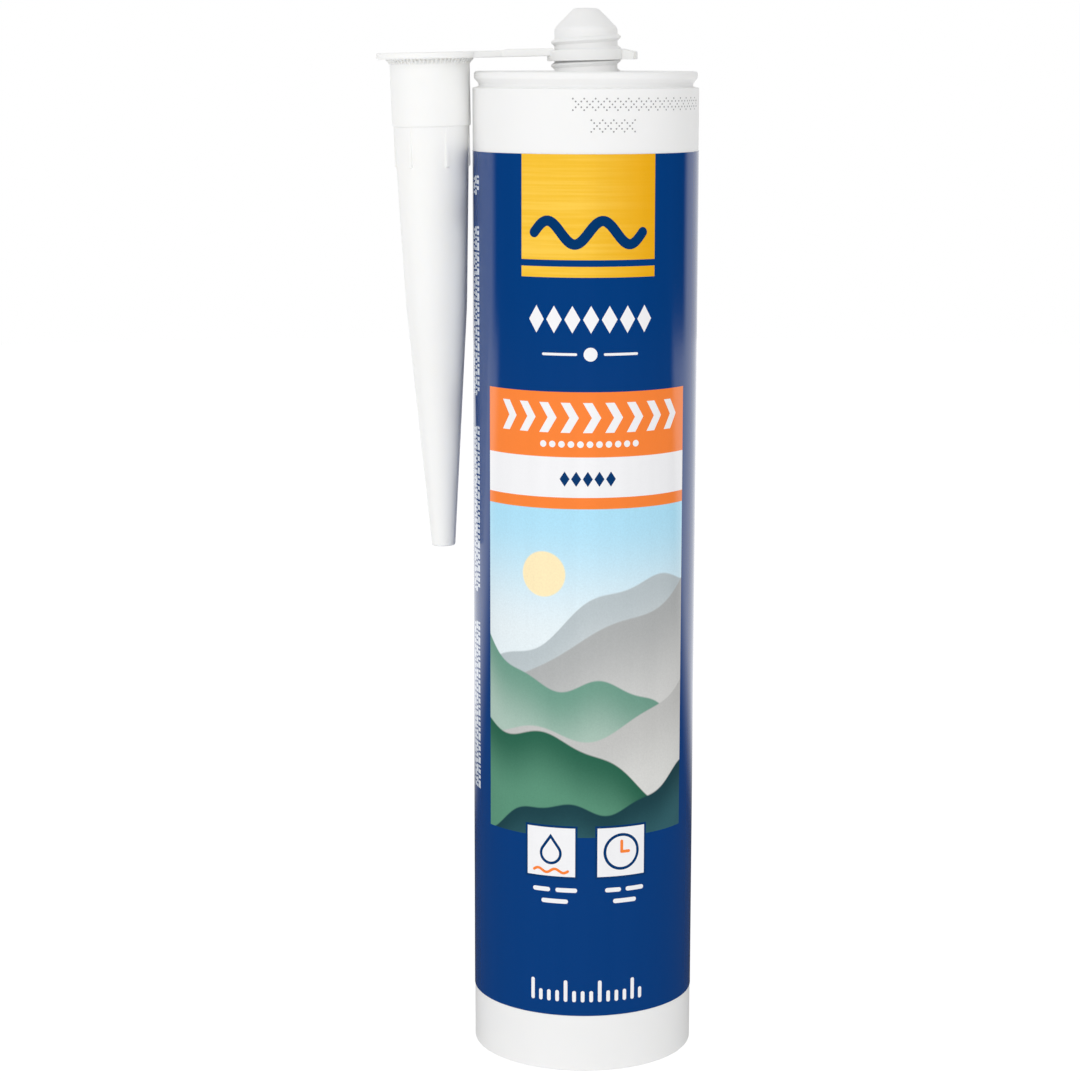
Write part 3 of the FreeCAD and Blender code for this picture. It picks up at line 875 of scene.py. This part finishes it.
def build_label():
    """Film, inks and the simple marks on them."""
    fields = (
        ("yellow_field", YELLOW_INK, "yellow_ink", "yellow_print", PANEL_ANGLE),
        ("orange_bands", ORANGE_INK, "orange_ink", "orange_print", BAND_ANGLE),
        ("white_band", WHITE_INK, "white_ink", "white_print", BAND_ANGLE),
        ("picture_field", PICTURE_INK, "picture_ink", "picture_print", BAND_ANGLE),
    )
    for name, material, slot, node, angle in fields:
        dress(wrapped(name, field_bars(node, angle), 1), material, "cartridge", slot, node)

    (low, high), = node_heights("tile_print")
    frames, faces, blue, orange = [], [], [], []
    for side in (-1, 1):
        middle = arc(side * TILE_TURN)
        half = math.radians(TILE_ANGLE / 2) * FILM_RADIUS
        frames.append(flat_bar(middle - half, middle + half, low, high))
        faces.append(flat_bar(middle - half + TILE_FRAME, middle + half - TILE_FRAME,
                              low + TILE_FRAME, high - TILE_FRAME))
    left, right, centre = arc(-TILE_TURN), arc(TILE_TURN), (low + high) / 2
    blue.append(flat_shape(drop(left, centre - DROP_DIP, DROP_SIZE), stroke=DROP_STROKE))
    orange += bead_wave(left, low + RIPPLE_RISE, **RIPPLE)
    blue.append(flat_disc(right, centre, CLOCK_RADIUS, hole=CLOCK_HOLE))
    for across, up in ((HAND_WAIST, LONG_HAND), (SHORT_HAND, HAND_WAIST)):
        orange.append(flat_bar(right - HAND_WAIST, right + across,
                               centre - HAND_WAIST, centre + up, HAND_WAIST - 0.01))
    blue += lozenges(**SMALL_DIAMONDS) + bead_wave(arc(0), **FIELD_WAVE)
    dress(wrapped("tile_frames", frames, 2), NAVY_INK, "cartridge", "film")
    dress(wrapped("tile_faces", faces, 3), WHITE_INK, "cartridge", "tile_ink", "tile_print")
    dress(wrapped("blue_marks", blue, 4), NAVY_INK, "cartridge", "film")
    dress(wrapped("orange_marks", orange, 5), ORANGE_INK, "cartridge", "orange_ink")

    marks = lozenges(**WIDE_DIAMONDS) + chevrons(**ARROWHEADS)
    marks += beads(**SMALL_DOTS) + beads(**MIDDLE_DOT)
    marks += round_bars(*[(*ends, *RULE_HEIGHTS) for ends in MIDDLE_RULES])
    for left, right in TILE_BAR_ENDS:
        inset = (right - left) / 5
        marks += round_bars(
            (left, left + 2 * inset, *UPPER_BARS),
            (left + 2.6 * inset, right, *UPPER_BARS),
            (left + inset, right - inset, *LOWER_BAR))
    for index in range(GAUGE_COUNT):
        tall = GAUGE_TALL if index % 4 == 0 else GAUGE_SHORT
        place = arc(GAUGE_START + index * GAUGE_STEP)
        marks.append(flat_bar(place - GAUGE_WAIST, place + GAUGE_WAIST,
                              GAUGE_BOTTOM, GAUGE_BOTTOM + tall, GAUGE_WAIST - 0.02))
    dress(wrapped("white_marks", marks, 2), WHITE_INK, "cartridge", "white_ink")

    dashes = []
    for column in range(DASH_COLUMNS):
        place = arc(DASH_START + column * DASH_STEP)
        bottom, index = DASH_BOTTOM, column * 3
        while bottom < DASH_TOP:
            length = DASH_LENGTHS[index % len(DASH_LENGTHS)]
            if (bottom - DASH_BOTTOM) % DASH_BLOCK < DASH_FILLED:
                dashes.append(flat_bar(
                    place - DASH_WAIST, place + DASH_WAIST, bottom, bottom + length))
            bottom += length + DASH_GAP
            index += 1
    dress(wrapped("side_dashes", dashes, 1), PALE_INK, "cartridge", "white_ink")

    dots = lattice(**LONG_NET, **NET) + lattice(**SHORT_NET, **NET)
    dress(wrapped("dotted_rule", dots, 1, radius=BARREL_RADIUS), GREY_INK, "cartridge", "")

    low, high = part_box("label")
    inner = FILM_RADIUS - FILM_THICKNESS
    bottom, top = low.z / MM, high.z / MM
    film = drawn("printed_film", [
        (inner, bottom), (FILM_RADIUS, bottom), (FILM_RADIUS, top), (inner, top)], closed=True)
    bpy.ops.transform.rotate(
        value=math.radians(-90 + LAP_ANGLE / 2), orient_axis="Z", center_override=(0, 0, 0))
    turns = [math.tau / FILM_STEPS] * (FILM_STEPS - 1) + [math.radians(LAP_RAMP)]
    turns += [math.radians(LAP_ANGLE) / 8] * 8
    for index, turn in enumerate(turns):
        bpy.ops.mesh.extrude_region_move(TRANSFORM_OT_translate={"value": (0, 0, 0)})
        bpy.ops.transform.rotate(value=-turn, orient_axis="Z", center_override=(0, 0, 0))
        if index == FILM_STEPS - 1:
            grow = 1 + (FILM_THICKNESS + INK_STEP) / FILM_RADIUS
            bpy.ops.transform.resize(value=(grow, grow, 1), center_override=(0, 0, 0))
    bpy.ops.mesh.select_all(action="SELECT")
    bpy.ops.mesh.normals_make_consistent(inside=False)
    smooth(film)
    dress(film, BLUE_FILM, "cartridge", "film", "label")

    edge = math.radians(180 + LAP_ANGLE / 2) * FILM_RADIUS
    margin = flat_bar(edge - LAP_MARGIN, edge - 0.02, bottom, top)
    margin = wrapped("lap_margin", [margin], 1, radius=FILM_RADIUS + FILM_THICKNESS + INK_STEP)
    dress(margin, PALE_INK, "cartridge", "white_ink")


def build_cartridge():
    """Barrel, rim, recessed top, threaded neck and sealed dome, all one moulding."""
    slope = math.atan((DOME_TOP - DOME_BASE) / (NECK_RADIUS - DOME_FLAT))
    wall = NECK_RADIUS - NECK_BORE
    inner_top = DOME_TOP - wall
    inner_base = DOME_BASE - wall * math.tan(math.pi / 4 - slope / 2)
    shell = turned("cartridge_moulding", [
        (MOUTH_RADIUS, 0, 0.15),
        (BARREL_RADIUS, 0, 0.35),
        (BARREL_RADIUS, BARREL_TOP, 0.2),
        (GROOVE_RADIUS, GROOVE_BOTTOM, 0.12),
        (GROOVE_RADIUS, GROOVE_TOP, 0.2),
        (BEAD_RADIUS, BEAD_BOTTOM, 0.3),
        (BEAD_RADIUS, RIM_TOP, 0.7),
        (RIM_INSIDE, RIM_TOP, 0.2),
        (DISC_RADIUS, DISC_TOP, 0.25),
        (NECK_RADIUS, DISC_TOP, 0.5),
        (NECK_RADIUS, DOME_BASE, 0.7),
        (DOME_FLAT, DOME_TOP, 0.8),
        (0, DOME_TOP, 0),
        (0, inner_top, 0),
        (DOME_FLAT - wall * math.tan(slope / 2), inner_top, 0),
        (NECK_BORE, inner_base, 0),
        (NECK_BORE, SHOULDER_UNDERSIDE, 0),
        (BORE_RADIUS - CORNER_WIDTH, SHOULDER_UNDERSIDE, 0),
        (BORE_RADIUS, SHOULDER_UNDERSIDE - CORNER_DEPTH, 0),
        (BORE_RADIUS, MOUTH_DEPTH + MOUTH_LEAD, 0),
        (MOUTH_RADIUS, MOUTH_DEPTH, 0),
    ])
    root, crest = NECK_RADIUS - THREAD_BITE, NECK_RADIUS + THREAD_DEPTH
    bottom, middle = THREAD_START - THREAD_LEAN, THREAD_START
    top = THREAD_START + THREAD_FOOT - THREAD_LEAN
    thread = coiled("thread", [
        (root, bottom),
        (NECK_RADIUS, bottom),
        (crest, middle - THREAD_CREST / 2),
        (crest, middle + THREAD_CREST / 2),
        (NECK_RADIUS, top),
        (root, top),
    ], THREAD_TURNS)
    piece = fused(shell, [thread])
    smooth(piece)
    dress(piece, WHITE_PLASTIC, "cartridge", "barrel_plastic", "cartridge")


def build_nozzle():
    """Eye, strap, flange, socket with ribs and gussets, and the long cone, all one moulding."""
    piece = turned("nozzle_moulding", [
        (SOCKET_BORE + THREAD_DEPTH, FLANGE_THICKNESS, 0),
        (FLANGE_RADIUS, FLANGE_THICKNESS, 0.4),
        (FLANGE_RADIUS, 0, 0.45),
        (SOCKET_RADIUS, 0, 0.35),
        (SOCKET_FOOT, -SOCKET_DEPTH, 0.12),
        (SOCKET_FOOT - LEDGE, -SOCKET_DEPTH, 0),
        (BEND_RADIUS, -BEND_DEPTH, 2.0),
        (TIP_RADIUS, -NOZZLE_LENGTH, 0.35),
        (TIP_BORE, -NOZZLE_LENGTH, 0.1),
        (SEAT_RADIUS, -BEND_DEPTH, 0),
        (SEAT_RADIUS, -SOCKET_DEPTH, 0),
        (SOCKET_BORE, -SOCKET_DEPTH, 0),
        (SOCKET_BORE, -GROOVE_FOOT, 0),
        (SOCKET_BORE + THREAD_DEPTH, GROOVE_RUNOUT - GROOVE_FOOT, 0),
    ])
    rib = block("ribs", [
        (BEND_RADIUS, OVERLAP - SOCKET_DEPTH),
        (RIB_REACH, OVERLAP - SOCKET_DEPTH),
        (RIB_REACH, RIB_CHAMFER - RIB_DEPTH),
        (RIB_REACH - RIB_CHAMFER, -RIB_DEPTH),
        (BEND_RADIUS, -RIB_DEPTH),
    ], RIB_WIDTH, RIB_ROUNDING)
    ribs = ringed(rib, RIB_COUNT)
    ribs.rotation_euler.z = math.radians(RIB_TURN)
    settle(ribs)
    gusset = block("gussets", [
        (SOCKET_RADIUS - GUSSET_BITE, OVERLAP),
        (SOCKET_RADIUS + GUSSET_REACH, OVERLAP),
        (SOCKET_RADIUS + GUSSET_REACH, -GUSSET_LIP),
        (SOCKET_RADIUS - 0.02, -GUSSET_HEIGHT),
        (SOCKET_RADIUS - GUSSET_BITE, -GUSSET_HEIGHT),
    ], GUSSET_WIDTH)
    gussets = ringed(gusset, GUSSET_COUNT)
    wall = SOCKET_BORE + THREAD_DEPTH + OVERLAP
    land = coiled("land", [
        (wall, -LAND_FOOT / 2),
        (SOCKET_BORE, -LAND_CREST / 2),
        (SOCKET_BORE, LAND_CREST / 2),
        (wall, LAND_FOOT / 2),
    ], LAND_TURNS)
    land.location.z = LAND_START * MM
    settle(land)
    fused(piece, [ribs, gussets, land])
    piece.location.x = -STRAP_SPAN * MM
    settle(piece)

    strap = block("strap", [
        (ROOT_REACH - STRAP_SPAN, 0), (-STRAP_REACH, 0), (-SOCKET_BORE, 0),
        (-SOCKET_BORE, STRAP_THICKNESS), (-STRAP_REACH + STRAP_RAMP, STRAP_THICKNESS),
        (-STRAP_REACH, FLANGE_THICKNESS), (ROOT_REACH - STRAP_SPAN, FLANGE_THICKNESS),
    ], STRAP_WIDTH)
    use(strap)
    bpy.ops.object.mode_set(mode="EDIT")
    bpy.ops.mesh.select_all(action="SELECT")
    bpy.ops.mesh.bisect(plane_co=(-STRAP_REACH * MM, 0, 0), plane_no=(1, 0, 0))
    pick(strap, lambda place: place.x < -STRAP_REACH - 0.5)
    bpy.ops.transform.resize(value=(1, ROOT_WIDTH / STRAP_WIDTH, 1), center_override=(0, 0, 0))
    bpy.ops.mesh.select_all(action="SELECT")
    bpy.ops.mesh.bevel(offset=STRAP_ROUNDING * MM, segments=3)
    calm()
    collar = EYE_BORE + EYE_WALL
    eye = turned("eye", [
        (EYE_BORE - EYE_BITE, -EYE_DROP, 0),
        (collar, -EYE_DROP, 0.2),
        (collar, EYE_RISE, 0.45),
        (EYE_BORE - EYE_BITE, EYE_RISE, 0),
    ], steps=96)
    tab = turned("tab", [
        (EYE_BORE + OVERLAP, -EYE_DROP, 0),
        (TAB_REACH, -EYE_DROP, 0.3),
        (TAB_REACH, TAB_NOSE, 0.3),
        (collar, EYE_RISE, 0),
        (EYE_BORE + OVERLAP, EYE_RISE, 0),
    ], steps=20, angle=TAB_ANGLE)
    bore = turned("bore", [
        (0, -4, 0), (EYE_BORE, -4, 0), (EYE_BORE, 4, 0), (0, 4, 0),
    ], steps=96)
    fused(piece, [strap, eye, tab])
    fused(piece, [bore], "DIFFERENCE")
    piece.rotation_euler.y = -math.radians(HANG_ANGLE)
    piece.location.z = EYE_HEIGHT * MM
    settle(piece)
    smooth(piece)
    dress(piece, MILKY_PLASTIC, "nozzle", "nozzle_plastic", "nozzle")


def build_contents():
    """The soft paste between plunger and dome, a fixed shape here; in the real cartridge it shortens
    as the plunger rises.
    """
    low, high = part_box("sealant")
    bottom, top = low.z / MM, high.z / MM
    bottom, top = bottom + PASTE_SKIN, top - PASTE_SKIN
    wall, neck = BORE_RADIUS - PASTE_GAP, NECK_BORE - PASTE_GAP
    shoulder = SHOULDER_UNDERSIDE - PASTE_GAP
    piece = turned("sealant_filling", [
        (0, bottom + CROWN_HEIGHT, 0),
        (BORE_RADIUS - CORNER_WIDTH - 0.3, bottom + CROWN_HEIGHT, 0.3),
        (wall, bottom, 0.2),
        (wall, SHOULDER_UNDERSIDE - CORNER_DEPTH - 0.1, 0.3),
        (wall - CORNER_WIDTH, shoulder, 0.3),
        (neck, shoulder, 0.2),
        (neck, DOME_BASE - DOME_CORNER, 0.3),
        (DOME_ROOM, top, 0.3),
        (0, top, 0),
    ], steps=72, closed=False)
    smooth(piece)
    dress(piece, PASTE, "cartridge", "sealant", "sealant")
    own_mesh(piece)


def build_plunger():
    """The plunger keeps its solid's shape and takes a matt plastic."""
    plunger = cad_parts["plunger"]
    plunger.data.materials.clear()
    plunger.data.materials.append(PLUNGER_PLASTIC)


# Studio

def seen_rays(tree):
    """Light Path's camera and transmission rays as one mask, and its glossy rays."""
    path = tree.nodes.new("ShaderNodeLightPath").outputs
    seen = maths(tree, "MAXIMUM", path["Is Camera Ray"], path["Is Transmission Ray"])
    return seen, path["Is Glossy Ray"]


def studio_floor():
    """A pale floor that shows as white, keeps the object's shadow and is clear from below."""
    calm()
    bpy.ops.mesh.primitive_circle_add(
        vertices=96, radius=FLOOR_RADIUS, fill_type="NGON", location=(0, 0, 0))
    floor = bpy.context.object
    floor.name = "floor"
    material, tree, shader, place = new_material("pale_floor")
    shader.inputs["Base Color"].default_value = FLOOR_COLOUR
    shader.inputs["Roughness"].default_value = 0.9
    seen, glossy = seen_rays(tree)
    axis = put(tree, "ShaderNodeSeparateXYZ", [(place, 0)]).outputs
    front = maths(tree, "SUBTRACT", 1.0, stepped(tree, axis["Y"], *FLOOR_EDGE))
    front = maths(tree, "MULTIPLY", glossy, front)
    strength = maths(tree, "MULTIPLY_ADD", front, -FLOOR_GLOW, FLOOR_GLOW)
    glow = put(tree, "ShaderNodeEmission", [(strength, "Strength")])
    seen, glossy = maths(tree, "MULTIPLY", seen, 0.6), maths(tree, "MULTIPLY", glossy, 0.9)
    share = maths(tree, "MAXIMUM", maths(tree, "MAXIMUM", seen, glossy), 0.3)
    mix = put(tree, "ShaderNodeMixShader", [
        (share, 0),
        (shader.outputs[0], 1),
        (glow.outputs[0], 2),
    ])
    under = put(tree, "ShaderNodeMixShader", [
        (tree.nodes.new("ShaderNodeNewGeometry").outputs["Backfacing"], 0),
        (mix.outputs[0], 1),
        (tree.nodes.new("ShaderNodeBsdfTransparent").outputs[0], 2),
    ])
    tree.links.new(under.outputs[0], tree.nodes["Material Output"].inputs["Surface"])
    floor.data.materials.append(material)


def studio_world():
    """White where it is seen, an even soft light, and a dark room behind the camera."""
    world = bpy.data.worlds.new("studio")
    bpy.context.scene.world = world
    world.use_nodes = True
    tree = world.node_tree
    back = tree.nodes["Background"]
    seen, glossy = seen_rays(tree)
    way = tree.nodes.new("ShaderNodeTexCoord").outputs["Generated"]
    way = put(tree, "ShaderNodeSeparateXYZ", [(way, 0)]).outputs
    lean = maths(tree, "MULTIPLY_ADD", way["X"], ROOM_LEAN, way["Y"])
    low, high = ROOM_EDGE
    behind = put(tree, "ShaderNodeMapRange", [
        (lean, 0),
        (low, 1),
        (high, 2),
        (ROOM_SHADE, 3),
        (1.0, 4),
    ]).outputs[0]
    soft = maths(tree, "MULTIPLY", maths(tree, "SUBTRACT", 1.0, glossy), SOFT_LIGHT)
    glossy = maths(tree, "MULTIPLY", glossy, behind)
    strength = maths(tree, "MAXIMUM", maths(tree, "ADD", glossy, soft), seen)
    tree.links.new(strength, back.inputs["Strength"])
    back.inputs["Color"].default_value = (1, 1, 1, 1)


def softbox(name, place, power):
    """A square soft light aimed at the barrel's middle."""
    light = bpy.data.lights.new(name, "AREA")
    light.shape = "SQUARE"
    light.size = LAMP_SIZE
    light.energy = power
    lamp = bpy.data.objects.new(name, light)
    bpy.context.scene.collection.objects.link(lamp)
    lamp.location = place
    lamp.rotation_euler = (Vector(LAMP_AIM) - Vector(place)).to_track_quat("-Z", "Y").to_euler()
    lamp.visible_glossy = False


def photo_camera():
    """The camera that was solved on the photograph."""
    data = bpy.data.cameras.new("photo_camera")
    data.sensor_width = 36.0
    data.lens = CAMERA_LENS
    data.clip_start = 0.01
    data.clip_end = 20.0
    camera = bpy.data.objects.new("photo_camera", data)
    bpy.context.scene.collection.objects.link(camera)
    camera.location = CAMERA_PLACE
    camera.rotation_euler = (math.radians(90 - CAMERA_TILT), math.radians(CAMERA_ROLL), 0)
    bpy.context.scene.camera = camera


studio_floor()
studio_world()
softbox("front_key", (-0.12, -1.0, 0.6), power=4.0)
softbox("left_fill", (-1.0, -0.15, 0.45), power=0.8)
photo_camera()
bpy.context.scene.view_settings.view_transform = "Standard"

build_cartridge()
build_label()
build_nozzle()
build_contents()
build_plunger()
